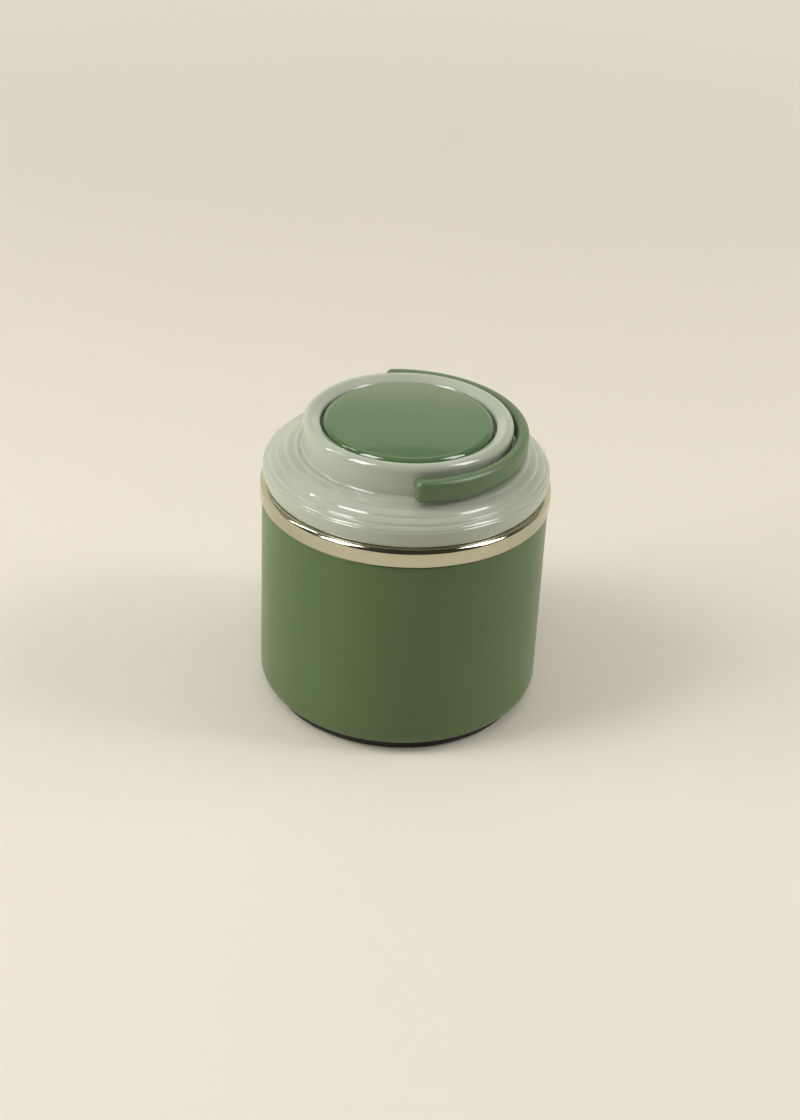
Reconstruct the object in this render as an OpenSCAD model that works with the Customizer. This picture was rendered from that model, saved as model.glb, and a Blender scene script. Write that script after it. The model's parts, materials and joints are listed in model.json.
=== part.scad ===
// Insulated food jar: a vacuum flask in a moulded shell, under a screw lid with a
// swinging carry handle. Millimetres, +Z up, origin on the floor under the middle of
// the jar. The handle's pivots lie along Y, and it is folded down towards +X.

/* [Jar body] */
// Outside diameter of the steel collar, the widest part of the jar
collar_d = 108; // [96:1:135]
// Height of the collar's top above the floor
jar_h = 89.3; // [72:0.1:125]
// Height of the collar's bright band
collar_h = 6.9; // [5:0.1:12]
// Outside radius of the collar's top edge
collar_round = 2; // [1:0.1:2.2]
// Sheet thickness of the collar
collar_sheet = 0.6; // [0.4:0.1:1]
// How far the side of the shell stands back from the collar
shell_setback = 0.7; // [0.65:0.05:1.5]
// Thickness of the shell's side
shell_wall = 2.2; // [1.8:0.1:3]
// Thickness of the shell's floor
shell_floor = 2.6; // [2.2:0.1:4]
// Outside radius of the shell's bottom corner
shell_corner = 6.4; // [4:0.1:10]
// Height of the shell's underside above the floor
foot_gap = 3; // [1.5:0.1:5]
// Width of the foot ring, measured across its rubber
foot_w = 6.7; // [4:0.1:10]

/* [Vacuum flask] */
// Sheet thickness of the flask's two walls
flask_sheet = 0.5; // [0.4:0.05:0.8]
// Space between the shell and the flask
flask_play = 0.8; // [0.4:0.1:2]
// Width of the vacuum between the two walls
vacuum_gap = 4.3; // [3:0.1:7]
// Inside radius of the bowl's bottom corner
bowl_corner = 14; // [6:0.5:22]
// Thickness of the foam that the flask stands on
cushion_t = 4; // [2:0.5:8]

/* [Threaded neck] */
// Height of the neck above the collar
neck_rise = 5; // [4:0.1:5.4]
// Depth of the channel round the neck, below the collar's top
channel_depth = 3; // [2:0.1:5]
// Wall thickness of the neck ring
neck_wall = 2.2; // [1.6:0.1:2.3]
// Space between the neck ring and the lid's skirt, which the thread fills
thread_space = 1.4; // [1:0.1:1.6]

/* [Lid] */
// Gap between the collar and the edge of the lid
lid_gap = 0.3; // [0.2:0.1:1]
// How far the lid's widest part stands back from the collar
lid_setback = 1.04; // [0.6:0.02:1.6]
// Height of the lid's widest part above its edge
rim_rise = 5.25; // [4:0.05:8]
// How far the lid's edge tucks in under its widest part
rim_tuck = 0.9; // [0.4:0.1:1.2]
// Height of the terraced shoulder
shoulder_rise = 7.35; // [6.5:0.05:12]
// Width of the terraced shoulder
shoulder_w = 14.35; // [12:0.05:18]
// How full the shoulder's curve is: 1 is an ellipse, more is flatter
shoulder_fullness = 1.276; // [1.1:0.01:1.4]
// Thickness of the lid's bottom edge
lid_edge_t = 1.45; // [1:0.05:2]
// Height of the lid's neck, up to the top of the ring
lid_neck_h = 11.8; // [10:0.1:18]
// Number of terraces on the shoulder
terraces = 5; // [3:1:8]
// Height of each terrace's step
terrace_step = 0.36; // [0.1:0.02:0.5]
// Wall thickness of the lid's shell
lid_wall = 1.5; // [1.2:0.1:1.8]
// Width of the rolled ring, from the neck to the opening
ring_w = 6.4; // [5.5:0.1:7.5]
// Radius of the ring's outer edge
ring_outer_round = 2.4; // [2:0.1:3.5]
// Radius of the ring's inner edge
ring_inner_round = 1.5; // [1:0.1:2.2]
// Angle at which the ring falls from its crest towards the disc
ring_fall = 30; // [10:1:40]

/* [Lid insert] */
// Gap all round the glossy disc in the top of the lid
disc_gap = 0.6; // [0.2:0.1:0.8]
// How far the disc's edge lies under the top of the ring
disc_drop = 0.9; // [0.9:0.1:3]
// Rise of the disc's crown above its edge
disc_crown = 0.7; // [0.4:0.1:0.8]
// Radius of the disc's edge
disc_edge_round = 2.4; // [1.2:0.1:2.6]
// Thickness of the disc
disc_t = 2; // [1.4:0.1:2.6]
// Number of snap tabs that hold the disc
disc_tabs = 6; // [3:1:8]

/* [Inner cap] */
// Thickness of the inner cap's disc
cap_t = 1.4; // [1.2:0.1:1.8]
// Wall thickness of the threaded skirt
skirt_wall = 2; // [1.6:0.1:2.4]
// Depth of the plug ring that enters the bowl's mouth
plug_depth = 5.6; // [4:0.1:10]
// Thickness of the seal between the cap and the bowl's lip
seal_t = 1.6; // [1.2:0.1:1.8]
// Clearance round the seal
seal_play = 0.2; // [0.1:0.05:0.3]

/* [Handle] */
// Space between the lid's neck and the handle's arms
arm_space = 3.2; // [2.8:0.1:6]
// How far the bow's centre lies behind the pivots
bow_offset = 2.1; // [0:0.1:2.2]
// Thickness of the bow
bow_t = 4.5; // [4.2:0.1:6]
// Height of the bow's section
bow_h = 8.3; // [6.5:0.1:9]
// Radius of the bow's long edges
bow_round = 2; // [1:0.1:2.1]
// Height of the pivots above the foot of the lid's neck
pivot_rise = 5.4; // [5.2:0.1:7]
// Diameter of the pivot pins
pin_d = 3; // [2.5:0.1:3.4]
// Radial clearance of the pins in the lid
pin_play = 0.05; // [0.02:0.01:0.09]

/* [Hidden] */
$fn = 128;
cut = 0.01;        // overlap that makes a cut clean
run_gap = 0.4;     // gap between parts that turn past each other
fit_gap = 0.1;     // gap between parts that are pushed together
corner_steps = 10; // chords in a small round
bowl_steps = 24;   // chords in the bowl's corner

// Jar body, from the floor up
shell_r = collar_d / 2 - shell_setback;
shell_in_r = shell_r - shell_wall;
collar_r = collar_d / 2;
collar_foot = jar_h - collar_h;
channel_floor = jar_h - channel_depth;
collar_in_r = collar_r - collar_sheet;
seat_r = collar_in_r - fit_gap;
bend_r = 0.5;
collar_round_at = [collar_r - collar_round, jar_h - collar_round];
shadow_gap_h = 1.1;
shadow_gap_d = 0.6;
shadow_gap_z = collar_foot - 0.5;
foot_r = shell_r - shell_corner - 0.7;
foot_seat = 1.2;

// Lid's edge, cap, thread and neck, from the collar inwards
rim_r = collar_r - lid_setback;
lid_skirt_in_r = rim_r - rim_tuck - lid_edge_t;
skirt_r = lid_skirt_in_r - run_gap;
skirt_in_r = skirt_r - skirt_wall;
neck_r = skirt_in_r - thread_space;
neck_in_r = neck_r - neck_wall;
neck_flange = 1;
channel_r = skirt_r + run_gap;
rim_in_r = channel_r + collar_sheet + 3 * fit_gap;

// Flask
jacket_r = shell_in_r - flask_play;
jacket_in_r = jacket_r - flask_sheet;
flask_z = foot_gap + shell_floor + cushion_t;
bowl_r = jacket_in_r - vacuum_gap;
bowl_in_r = bowl_r - flask_sheet;
bowl_z = flask_z + flask_sheet + vacuum_gap;
jacket_neck_r = neck_in_r - fit_gap;
bowl_neck_r = jacket_neck_r - flask_sheet;
mouth_r = bowl_neck_r - flask_sheet;
collar_seal_t = 1.2;
shoulder_z = channel_floor - collar_sheet - collar_seal_t;
jacket_round = 3;
lip_z = jar_h + neck_rise;
lip_top = lip_z + flask_sheet;
bowl_neck_drop = 4;
base_spigot = 6;
base_corner = 3;
dimple_r = 7;
dimple_rise = 1.6;
port_r = 1.2;

// Lid
lid_z = jar_h + lid_gap;
rim_z = lid_z + rim_rise;
lid_neck_r = rim_r - shoulder_w;
lid_neck_z = rim_z + shoulder_rise;
ring_z = lid_neck_z + lid_neck_h;
lid_neck_in_r = lid_neck_r - lid_wall - 0.3;
neck_fillet = 0.8;
opening_r = lid_neck_r - ring_w;
crest_r = lid_neck_r - ring_outer_round;
crest_z = ring_z - ring_outer_round;
crest_wall = 1.9;
lip_r = opening_r + ring_inner_round;
lip_drop = (ring_outer_round - ring_inner_round - (crest_r - lip_r) * sin(ring_fall)) / cos(ring_fall);
terrace_from = 2;
terrace_to = 79;
tread_share = 0.7;
tread_steps = 6;
riser_steps = 4;
rim_steps = 10;

// Inner cap and seal
seal_z = lip_top + seal_play;
cap_z = seal_z + seal_t + seal_play;
cap_top = cap_z + cap_t;
skirt_z = channel_floor + 0.5;
plug_r = mouth_r - 1.1;
plug_wall = 2;
landing_r = mouth_r + 0.6;
landing_w = 1.8;
seal_r = neck_r - 0.2;
fin_t = 0.7;
fin_depth = 3;
valve_r = 2;
valve_head_r = 6;
valve_ports = 4;
valve_port_r = 0.7;
valve_port_ring = 3.7;
cap_play = 0.3;

// Disc
ledge_w = 1.8;
ledge_t = 1.5;
disc_r = opening_r - disc_gap;
disc_z = ring_z - disc_drop;
ledge_z = disc_z - disc_edge_round - disc_t;
ledge_r = opening_r - ledge_w;
tab_wall = 1.3;
tab_angle = 24;
tab_catch = 0.8;

// Handle
bow_r = lid_neck_r + arm_space + bow_t;
pivot_z = lid_neck_z + pivot_rise;
bow_in_r = bow_r - bow_t;
bow_mid_r = bow_r - bow_t / 2;
end_r = bow_t / 2;
end_step = 0.04;
end_reach = 3;
end_x = end_r - end_reach;
end_angle = acos((end_x + bow_offset) / bow_mid_r);
end_y = bow_mid_r * sin(end_angle);
pin_r = pin_d / 2;
pin_cover = 1.6;
pin_tip = end_y + end_r - pin_cover;
bearing_depth = 3.2;
pin_root = lid_neck_r - bearing_depth + 0.3;
boss_r = 2.8;
boss_face = lid_neck_r + 0.3;
bearing_w = 8;
bearing_r = lid_neck_r - bearing_depth - 0.8;
bearing_foot = 4.2;

// Points of a round, from angle a0 to a1, about a centre
function round_points(centre, r, a0, a1, steps = corner_steps) =
    [for (i = [0:steps]) let (a = a0 + (a1 - a0) * i / steps) centre + r * [cos(a), sin(a)]];

// The smooth curve of the lid's shoulder: t is 0 at the neck and 90 at the widest part
function shoulder(t) = [
    lid_neck_r + (rim_r - lid_neck_r) * pow(sin(t), shoulder_fullness),
    rim_z + shoulder_rise * pow(cos(t), shoulder_fullness)
];

// Outward direction of that curve
function shoulder_normal(t) =
    let (a = shoulder(max(t - 0.5, 0)), b = shoulder(min(t + 0.5, 90)), d = b - a)
    [-d.y, d.x] / norm(d);

function shoulder_at(t, lift) = shoulder(t) + lift * shoulder_normal(t);

// One terrace as [share of its width, share of its step]: it swells over a long tread
// and falls over a short riser, with no corner at the crest or in the valley
terrace_shape = concat(
    [for (i = [0:tread_steps - 1]) let (u = i / tread_steps)
        [u * tread_share, -cos(180 * u) / 2]],
    [for (i = [0:riser_steps - 1]) let (u = i / riser_steps)
        [tread_share + u * (1 - tread_share), cos(180 * u) / 2]]
);

// The terraces from the neck's fillet outwards
terraced_shoulder = [
    for (i = [0:terraces - 1], s = terrace_shape)
        let (pitch = (terrace_to - terrace_from) / terraces)
        let (p = shoulder_at(terrace_from + (i + s.x) * pitch, s.y * terrace_step))
        if (p.x > lid_neck_r + neck_fillet) p
];

// The inner cap's slope, which follows the inside of the shoulder
cap_slope = [
    for (t = [80:-4:8])
        let (p = shoulder_at(t, -lid_wall - cap_play))
        if (p.x < skirt_r && p.y < cap_top) p
];

// From the widest part of the lid down to its edge
function lid_edge(r, drop, tuck) =
    [for (i = [1:rim_steps]) let (a = 90 * i / rim_steps)
        [r - tuck * (1 - cos(a)), rim_z - drop * sin(a)]];

// A ring of rectangular section
module ring(r_out, r_in, z0, z1) {
    translate([0, 0, z0])
        rotate_extrude()
            translate([r_in, 0])
                square([r_out - r_in, z1 - z0]);
}

// A rectangle centred on the origin with round corners
module round_rectangle(w, h, r) {
    square([w - 2 * r, h], center = true);
    square([w, h - 2 * r], center = true);
    for (x = [-1, 1], y = [-1, 1])
        translate([x * (w / 2 - r), y * (h / 2 - r)])
            circle(r, $fn = 48);
}

// Something at each of the two pivots, drawn for the one on +Y
module at_pivots() {
    for (side = [0, 1])
        mirror([0, side, 0])
            children();
}

// A rod along Y from y0 to y1, at the height of the pivots
module pivot_rod(r, y0, y1) {
    translate([0, y1, pivot_z])
        rotate([90, 0, 0])
            cylinder(h = y1 - y0, r = r, $fn = 64);
}

// Moulded cup that holds the flask: round-cornered floor, plain side, and a seat for
// the collar above a narrow shadow gap
module outer_shell() {
    in_corner = shell_corner - shell_wall;
    floor_top = foot_gap + shell_floor;
    outline = concat(
        [[0, foot_gap]],
        round_points([shell_r - shell_corner, foot_gap + shell_corner], shell_corner, -90, 0, 16),
        [[shell_r, shadow_gap_z - 0.3], [shell_r - 0.1, shadow_gap_z - 0.08]],
        [[shell_r - 0.3, shadow_gap_z], [shell_r - shadow_gap_d, shadow_gap_z]],
        [[shell_r - shadow_gap_d, shadow_gap_z + shadow_gap_h]],
        [[seat_r, shadow_gap_z + shadow_gap_h]],
        round_points(collar_round_at, collar_round - collar_sheet - fit_gap, 0, 90),
        [[rim_in_r, jar_h - collar_sheet - fit_gap], [rim_in_r, channel_floor - 2.2]],
        [[shell_in_r, channel_floor - 3.2]],
        round_points([shell_in_r - in_corner, floor_top + in_corner], in_corner, 0, -90),
        [[0, floor_top]]
    );
    color("#54703f")
        difference() {
            rotate_extrude()
                polygon(outline);
            ring(foot_r, foot_r - foot_w, foot_gap - cut, foot_gap + foot_seat);
            translate([0, 0, foot_gap - cut])
                cylinder(h = 0.6 + cut, r = foot_r - foot_w - 3);
        }
}

// Silicone ring that the jar stands on, pushed into a groove in the shell's floor
module foot_ring() {
    edge = 0.8;
    in_r = foot_r - foot_w;
    outline = concat(
        [[in_r, foot_gap + foot_seat]],
        round_points([in_r + edge, edge], edge, 180, 270, 6),
        round_points([foot_r - edge, edge], edge, 270, 360, 6),
        [[foot_r, foot_gap + foot_seat]]
    );
    color("#23261f")
        rotate_extrude()
            polygon(outline);
}

// Foam ring that carries the flask on the shell's floor
module flask_cushion() {
    color("#e9e6dc")
        ring(jacket_r - 8, jacket_r - 34, foot_gap + shell_floor, flask_z);
}

// Steel bottom of the jacket: a pressed dish with a dimple round the vacuum port
module jacket_base() {
    r = jacket_in_r;
    t = flask_sheet;
    outline = concat(
        [[port_r, flask_z + dimple_rise], [dimple_r, flask_z + dimple_rise]],
        [[dimple_r + 2, flask_z]],
        round_points([r - base_corner, flask_z + base_corner], base_corner, -90, 0),
        [[r, flask_z + base_spigot], [r - t, flask_z + base_spigot]],
        round_points([r - base_corner, flask_z + base_corner], base_corner - t, 0, -90),
        [[dimple_r + 2 - t / 2, flask_z + t], [dimple_r - t / 2, flask_z + dimple_rise + t]],
        [[port_r, flask_z + dimple_rise + t]]
    );
    color("#b9bbb8")
        rotate_extrude()
            polygon(outline);
}

// Outer steel wall of the flask, drawn in at the top to make its neck
module vacuum_jacket() {
    t = flask_sheet;
    inner_round = 1.5;
    outline = concat(
        [[jacket_r, flask_z + base_corner]],
        round_points([jacket_r - jacket_round, shoulder_z - jacket_round], jacket_round, 0, 90),
        round_points([jacket_neck_r + inner_round, shoulder_z + inner_round], inner_round, 270, 180, 6),
        [[jacket_neck_r, lip_z], [bowl_neck_r, lip_z]],
        [[bowl_neck_r, shoulder_z - t]],
        round_points([jacket_r - jacket_round, shoulder_z - jacket_round], jacket_round - t, 90, 0),
        [[jacket_in_r, flask_z + base_corner]]
    );
    color("#b9bbb8")
        rotate_extrude()
            polygon(outline);
}

// Gas-trapping pellet in its steel cup, inside the vacuum
module getter() {
    color("#8c8f8c")
        translate([(dimple_r + jacket_in_r) / 2 - 2, 0, flask_z + flask_sheet]) {
            cylinder(h = 0.8, r = 5, $fn = 48);
            cylinder(h = 1.6, r = 4, $fn = 48);
        }
}

// Glass solder that closes the vacuum port
module vacuum_seal() {
    roof = flask_z + dimple_rise;
    color("#5f6f73") {
        translate([0, 0, roof - 1])
            cylinder(h = 1, r = 3, $fn = 48);
        translate([0, 0, roof - cut])
            cylinder(h = flask_sheet + cut, r = port_r, $fn = 48);
    }
}

// Bright foil sleeve round the bowl, which throws its heat back
module heat_foil() {
    color("#c98d5f")
        ring(bowl_r + 0.15, bowl_r, bowl_z + bowl_corner + 2, shoulder_z - bowl_neck_drop - 4);
}

// Deep-drawn steel bowl: round-cornered floor, slightly narrower mouth, flat rolled lip
module inner_bowl() {
    t = flask_sheet;
    corner = bowl_corner + t;
    neck_z = shoulder_z - t;
    low_z = neck_z - bowl_neck_drop;
    lip_r = neck_in_r + neck_wall - 0.5;
    slope = [for (i = [0:8]) let (u = i / 8, s = u * u * (3 - 2 * u))
        [bowl_r - (bowl_r - bowl_neck_r) * s, low_z + bowl_neck_drop * u]];
    outline = concat(
        [[0, bowl_z]],
        round_points([bowl_r - corner, bowl_z + corner], corner, -90, 0, bowl_steps),
        slope,
        [[bowl_neck_r, lip_z], [lip_r - 0.2, lip_z], [lip_r, lip_z + 0.2]],
        [[lip_r, lip_top - 0.2], [lip_r - 0.2, lip_top]],
        round_points([mouth_r + 0.6, lip_top - 0.6], 0.6, 90, 180, 4),
        [for (i = [8:-1:0]) slope[i] - [t, 0]],
        round_points([bowl_r - corner, bowl_z + corner], bowl_corner, 0, -90, bowl_steps),
        [[0, bowl_z + t]]
    );
    color("#c2c4c1")
        rotate_extrude()
            polygon(outline);
}

// Silicone washer between the flask's shoulder and the collar
module collar_seal() {
    color("#dcdcd2")
        ring(jacket_r - jacket_round, jacket_neck_r + 1.6, shoulder_z, shoulder_z + collar_seal_t);
}

// Bright steel collar: a band over the shell's rim, rolled in at the top and pressed
// down into a channel that the lid's skirt enters
module steel_collar() {
    t = collar_sheet;
    bend_at = [channel_r + t + bend_r, jar_h - t - bend_r];
    outline = concat(
        [[collar_in_r, collar_foot], [collar_r - 0.15, collar_foot], [collar_r, collar_foot + 0.15]],
        round_points(collar_round_at, collar_round, 0, 90, 14),
        round_points(bend_at, bend_r + t, 90, 180, 6),
        [[channel_r, channel_floor], [jacket_neck_r + 2 * fit_gap, channel_floor]],
        [[jacket_neck_r + 2 * fit_gap, channel_floor - t], [channel_r + t, channel_floor - t]],
        round_points(bend_at, bend_r, 180, 90, 6),
        round_points(collar_round_at, collar_round - t, 90, 0, 14)
    );
    color("#d2d0c8")
        rotate_extrude()
            polygon(outline);
}

// Moulded ring round the flask's neck that carries the screw thread; the bowl's lip
// is rolled over it, and it clamps the collar
module neck_ring() {
    outline = [
        [neck_in_r, channel_floor], [neck_r + neck_flange - 0.2, channel_floor],
        [neck_r + neck_flange, channel_floor + 0.2], [neck_r + neck_flange, channel_floor + 0.8],
        [neck_r, channel_floor + 1.2], [neck_r, lip_z - 0.4],
        [neck_r - 0.4, lip_z], [neck_in_r, lip_z]
    ];
    color("#e4e6dc")
        rotate_extrude()
            polygon(outline);
}

// Silicone seal in the inner cap: a flat ring over the lip, and a fin in the mouth
module lid_gasket() {
    in_r = plug_r + seal_play;
    outline = [
        [in_r, seal_z - fin_depth], [in_r + fin_t * 0.6, seal_z - fin_depth],
        [in_r + fin_t, seal_z - fin_depth + 0.8], [in_r + fin_t, seal_z],
        [seal_r, seal_z], [seal_r, seal_z + seal_t], [in_r, seal_z + seal_t]
    ];
    color("#f0efe6")
        rotate_extrude()
            polygon(outline);
}

// Inner cap: a plug ring and a threaded skirt under a disc, with the valve's seat in
// the middle and a raised landing that the lid's shell is welded to
module inner_cap() {
    outline = [
        [0, cap_z], [plug_r - plug_wall, cap_z], [plug_r - plug_wall, cap_z - plug_depth + 0.5],
        [plug_r - plug_wall + 0.5, cap_z - plug_depth], [plug_r - 0.5, cap_z - plug_depth],
        [plug_r, cap_z - plug_depth + 0.5], [plug_r, cap_z],
        [seal_r + seal_play, cap_z], [seal_r + seal_play, cap_z - 0.6],
        [skirt_in_r, cap_z - 2], [skirt_in_r, skirt_z + 0.4], [skirt_in_r + 0.4, skirt_z],
        [skirt_r - 0.3, skirt_z], [skirt_r, skirt_z + 0.3], [skirt_r, cap_slope[0].y - 0.6]
    ];
    color("#eceadf")
        difference() {
            rotate_extrude()
                polygon(concat(outline, cap_slope, [[landing_r + 0.5, cap_top], [0, cap_top]]));
            translate([0, 0, cap_z - cut])
                cylinder(h = cap_t + 2 * cut, r = valve_r, $fn = 48);
            for (i = [0:valve_ports - 1])
                rotate([0, 0, 360 * i / valve_ports])
                    translate([valve_port_ring, 0, cap_z - cut])
                        cylinder(h = cap_t + 2 * cut, r = valve_port_r, $fn = 24);
        }
}

// Silicone umbrella valve that lets steam out of the bowl and nothing back in
module vent_valve() {
    outline = [
        [0, cap_z - 2], [valve_r - 0.6, cap_z - 2], [valve_r + 0.8, cap_z - 0.7],
        [valve_r + 0.8, cap_z], [valve_r, cap_z], [valve_r, cap_top],
        [valve_head_r, cap_top], [valve_head_r - 0.4, cap_top + 0.35],
        [valve_r, cap_top + 1], [0, cap_top + 1]
    ];
    color("#f0efe6")
        rotate_extrude()
            polygon(outline);
}

// Foam puck in the hollow of the lid, with a hole over the valve
module lid_insulation() {
    color("#f2f0e8")
        ring(lid_neck_in_r - 0.6, valve_head_r + 3, cap_top, pivot_z - bearing_foot - 0.3);
}

// Lid shell: tucked edge, terraced shoulder, neck with two pivot bearings, and a
// rolled ring round the opening for the disc
module lid_shell() {
    foot_at = [lid_neck_r + neck_fillet, terraced_shoulder[0].y + neck_fillet];
    lip_at = [lip_r, crest_z + lip_drop];
    hollow_r = (lid_neck_in_r - opening_r - lid_wall) / 2;
    hollow_at = [opening_r + lid_wall + hollow_r, ring_z - crest_wall - hollow_r];
    outline = concat(
        [[lid_skirt_in_r, lid_z]],
        [for (i = [rim_steps:-1:1]) lid_edge(rim_r, rim_rise, rim_tuck)[i - 1]],
        [for (i = [0:3]) shoulder(90 - i * (90 - terrace_to) / 4)],
        [for (i = [len(terraced_shoulder) - 1:-1:0]) terraced_shoulder[i]],
        round_points(foot_at, neck_fillet, 270, 180, 6),
        round_points([crest_r, crest_z], ring_outer_round, 0, 90 + ring_fall, 18),
        round_points(lip_at, ring_inner_round, 90 + ring_fall, 180, 8),
        [[opening_r, ledge_z], [ledge_r, ledge_z], [ledge_r, ledge_z - ledge_t]],
        [[opening_r + lid_wall, ledge_z - ledge_t]],
        round_points(hollow_at, hollow_r, 180, 0, 12),
        [[lid_neck_in_r, lid_neck_z - lid_wall]],
        [for (i = [2:9]) shoulder_at(i * 7.5, -lid_wall)],
        [[lid_skirt_in_r, shoulder_at(67.5, -lid_wall).y - 0.8]]
    );
    color("#a9b89d")
        difference() {
            union() {
                rotate_extrude()
                    polygon(outline);
                ring(landing_r, landing_r - landing_w, cap_top, shoulder_at(24, -lid_wall).y + 0.5);
                at_pivots()
                    intersection() {
                        translate([-bearing_w / 2, bearing_r, pivot_z - bearing_foot])
                            cube([bearing_w, bearing_depth, 2 * bearing_foot]);
                        translate([0, 0, pivot_z - bearing_foot])
                            cylinder(h = 2 * bearing_foot, r = lid_neck_r - 0.4);
                    }
            }
            at_pivots()
                pivot_rod(pin_r + pin_play, lid_neck_r - bearing_depth, lid_neck_r + 1);
        }
}

// Glossy crowned disc that snaps into the ring
module top_disc() {
    crown_r = (pow(disc_r - disc_edge_round, 2) + pow(disc_crown, 2)) / (2 * disc_crown);
    crown_z = disc_z + disc_crown - crown_r;
    tab_top = ledge_z + 0.6;
    tab_z = ledge_z - ledge_t - 1.9;
    tab_r = ledge_r - 0.3;
    crown_angle = asin((disc_r - disc_edge_round) / crown_r);
    outline = concat(
        round_points([0, crown_z], crown_r, 90, 90 - crown_angle, 12),
        round_points([disc_r - disc_edge_round, disc_z - disc_edge_round], disc_edge_round, 82, 0, 10),
        [[disc_r, ledge_z], [disc_r - 1.6, ledge_z], [disc_r - 1.6, ledge_z + 1]],
        round_points([0, crown_z], crown_r - disc_t, 90 - crown_angle * 0.93, 90, 12)
    );
    tab = [
        [tab_r - tab_wall, tab_top + 1], [tab_r - tab_wall, tab_z + 0.4], [tab_r - tab_wall + 0.4, tab_z],
        [tab_r, tab_z], [tab_r + tab_catch, tab_z + 1], [tab_r + tab_catch, tab_z + 1.4],
        [tab_r, tab_z + 1.7], [tab_r, tab_top + 1]
    ];
    color("#567a4b")
        union() {
            rotate_extrude()
                polygon(outline);
            for (i = [0:disc_tabs - 1])
                rotate([0, 0, 360 * i / disc_tabs - tab_angle / 2 + 30])
                    rotate_extrude(angle = tab_angle)
                        polygon(tab);
        }
}

// Bow-shaped handle with round ends, and a boss at each end that stands it off the neck
module carry_handle() {
    color("#4f7350")
        difference() {
            union() {
                translate([-bow_offset, 0, pivot_z])
                    rotate([0, 0, -end_angle])
                        rotate_extrude(angle = 2 * end_angle)
                            translate([bow_mid_r, 0])
                                round_rectangle(bow_t, bow_h, bow_round);
                at_pivots() {
                    translate([end_x, end_y, pivot_z])
                        rotate_extrude()
                            intersection() {
                                round_rectangle(bow_t - 2 * end_step, bow_h - 2 * end_step, bow_round);
                                translate([0, -bow_h])
                                    square([bow_t, 2 * bow_h]);
                            }
                    pivot_rod(boss_r, boss_face, end_y);
                }
            }
            at_pivots()
                pivot_rod(pin_r, boss_face - 1, pin_tip);
        }
}

// Steel pins pressed into the handle's ends, which turn in the lid's bearings
module pivot_pins() {
    color("#b9bbb8")
        at_pivots()
            pivot_rod(pin_r, pin_root, pin_tip);
}

outer_shell();
foot_ring();
flask_cushion();
jacket_base();
vacuum_jacket();
getter();
vacuum_seal();
heat_foil();
inner_bowl();
collar_seal();
steel_collar();
neck_ring();
lid_gasket();
inner_cap();
vent_valve();
lid_insulation();
lid_shell();
top_disc();
carry_handle();
pivot_pins();
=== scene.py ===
"""Looks of an insulated food jar: a satin green shell, a polished steel collar, and a terraced sage
screw lid with a glossy inset disc and a bow handle. Sizes are in metres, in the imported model's frame."""

import json
import math

import bmesh
import bpy
from mathutils import Matrix, Vector

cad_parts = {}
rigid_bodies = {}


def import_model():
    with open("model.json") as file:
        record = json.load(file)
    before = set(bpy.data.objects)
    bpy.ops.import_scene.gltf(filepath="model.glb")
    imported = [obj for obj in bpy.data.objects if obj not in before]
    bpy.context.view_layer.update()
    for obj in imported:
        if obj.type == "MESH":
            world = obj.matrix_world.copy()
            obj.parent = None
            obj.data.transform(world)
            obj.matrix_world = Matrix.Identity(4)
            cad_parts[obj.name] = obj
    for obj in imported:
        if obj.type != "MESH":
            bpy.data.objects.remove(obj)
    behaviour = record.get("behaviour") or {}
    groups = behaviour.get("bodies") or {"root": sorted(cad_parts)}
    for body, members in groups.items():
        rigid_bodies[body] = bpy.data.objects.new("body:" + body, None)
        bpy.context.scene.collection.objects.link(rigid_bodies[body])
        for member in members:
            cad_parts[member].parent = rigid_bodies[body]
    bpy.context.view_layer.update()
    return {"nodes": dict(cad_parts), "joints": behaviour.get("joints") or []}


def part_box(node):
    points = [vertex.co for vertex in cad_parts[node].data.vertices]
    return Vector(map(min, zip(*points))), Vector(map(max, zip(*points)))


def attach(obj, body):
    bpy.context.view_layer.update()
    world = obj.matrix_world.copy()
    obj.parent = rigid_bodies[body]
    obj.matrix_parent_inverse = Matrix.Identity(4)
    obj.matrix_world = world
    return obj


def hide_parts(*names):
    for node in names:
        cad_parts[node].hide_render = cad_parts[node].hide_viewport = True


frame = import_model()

NODES = frame["nodes"]
MM = 0.001
TINY = 0.001 * MM  # points nearer to each other, or to the axis, are one
FULL_TURN = 2 * math.pi


# ---------------------------------------------------------------- nodes


class Val:
    """A node's output, which Python arithmetic can be written with."""

    def __init__(self, owner, socket):
        self.owner = owner
        self.socket = socket

    def _math(self, op, a, b):
        return self.owner.node("ShaderNodeMath", {"operation": op}, {0: a, 1: b})

    def __add__(self, other):
        return self._math("ADD", self, other)

    def __radd__(self, other):
        return self._math("ADD", other, self)

    def __sub__(self, other):
        return self._math("SUBTRACT", self, other)

    def __rsub__(self, other):
        return self._math("SUBTRACT", other, self)

    def __mul__(self, other):
        return self._math("MULTIPLY", self, other)

    def __rmul__(self, other):
        return self._math("MULTIPLY", other, self)

    def __truediv__(self, other):
        return self._math("DIVIDE", self, other)

    def clamped(self, low, high):
        """0 at low, 1 at high, and smooth between them."""
        return self.owner.node(
            "ShaderNodeMapRange",
            {"interpolation_type": "SMOOTHSTEP"},
            {"Value": self, "From Min": low, "From Max": high},
        )


class Nodes:
    """The node tree of a material, of the world, or of a shape."""

    def __init__(self, tree):
        self.tree = tree

    def node(self, kind, settings, values, out=0):
        """An output of a new node, whose settings are set first, then its sockets' values or links."""
        made = self.tree.nodes.new(kind)
        for key, value in settings.items():
            setattr(made, key, value)
        for key, value in values.items():
            if isinstance(value, Val):
                self.tree.links.new(value.socket, made.inputs[key])
            else:
                made.inputs[key].default_value = value
        return Val(self, made.outputs[out])

    def ray(self, kind):
        """1 where a ray of this kind looks, 0 elsewhere."""
        return self.node("ShaderNodeLightPath", {}, {}, out=f"Is {kind} Ray")


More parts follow.
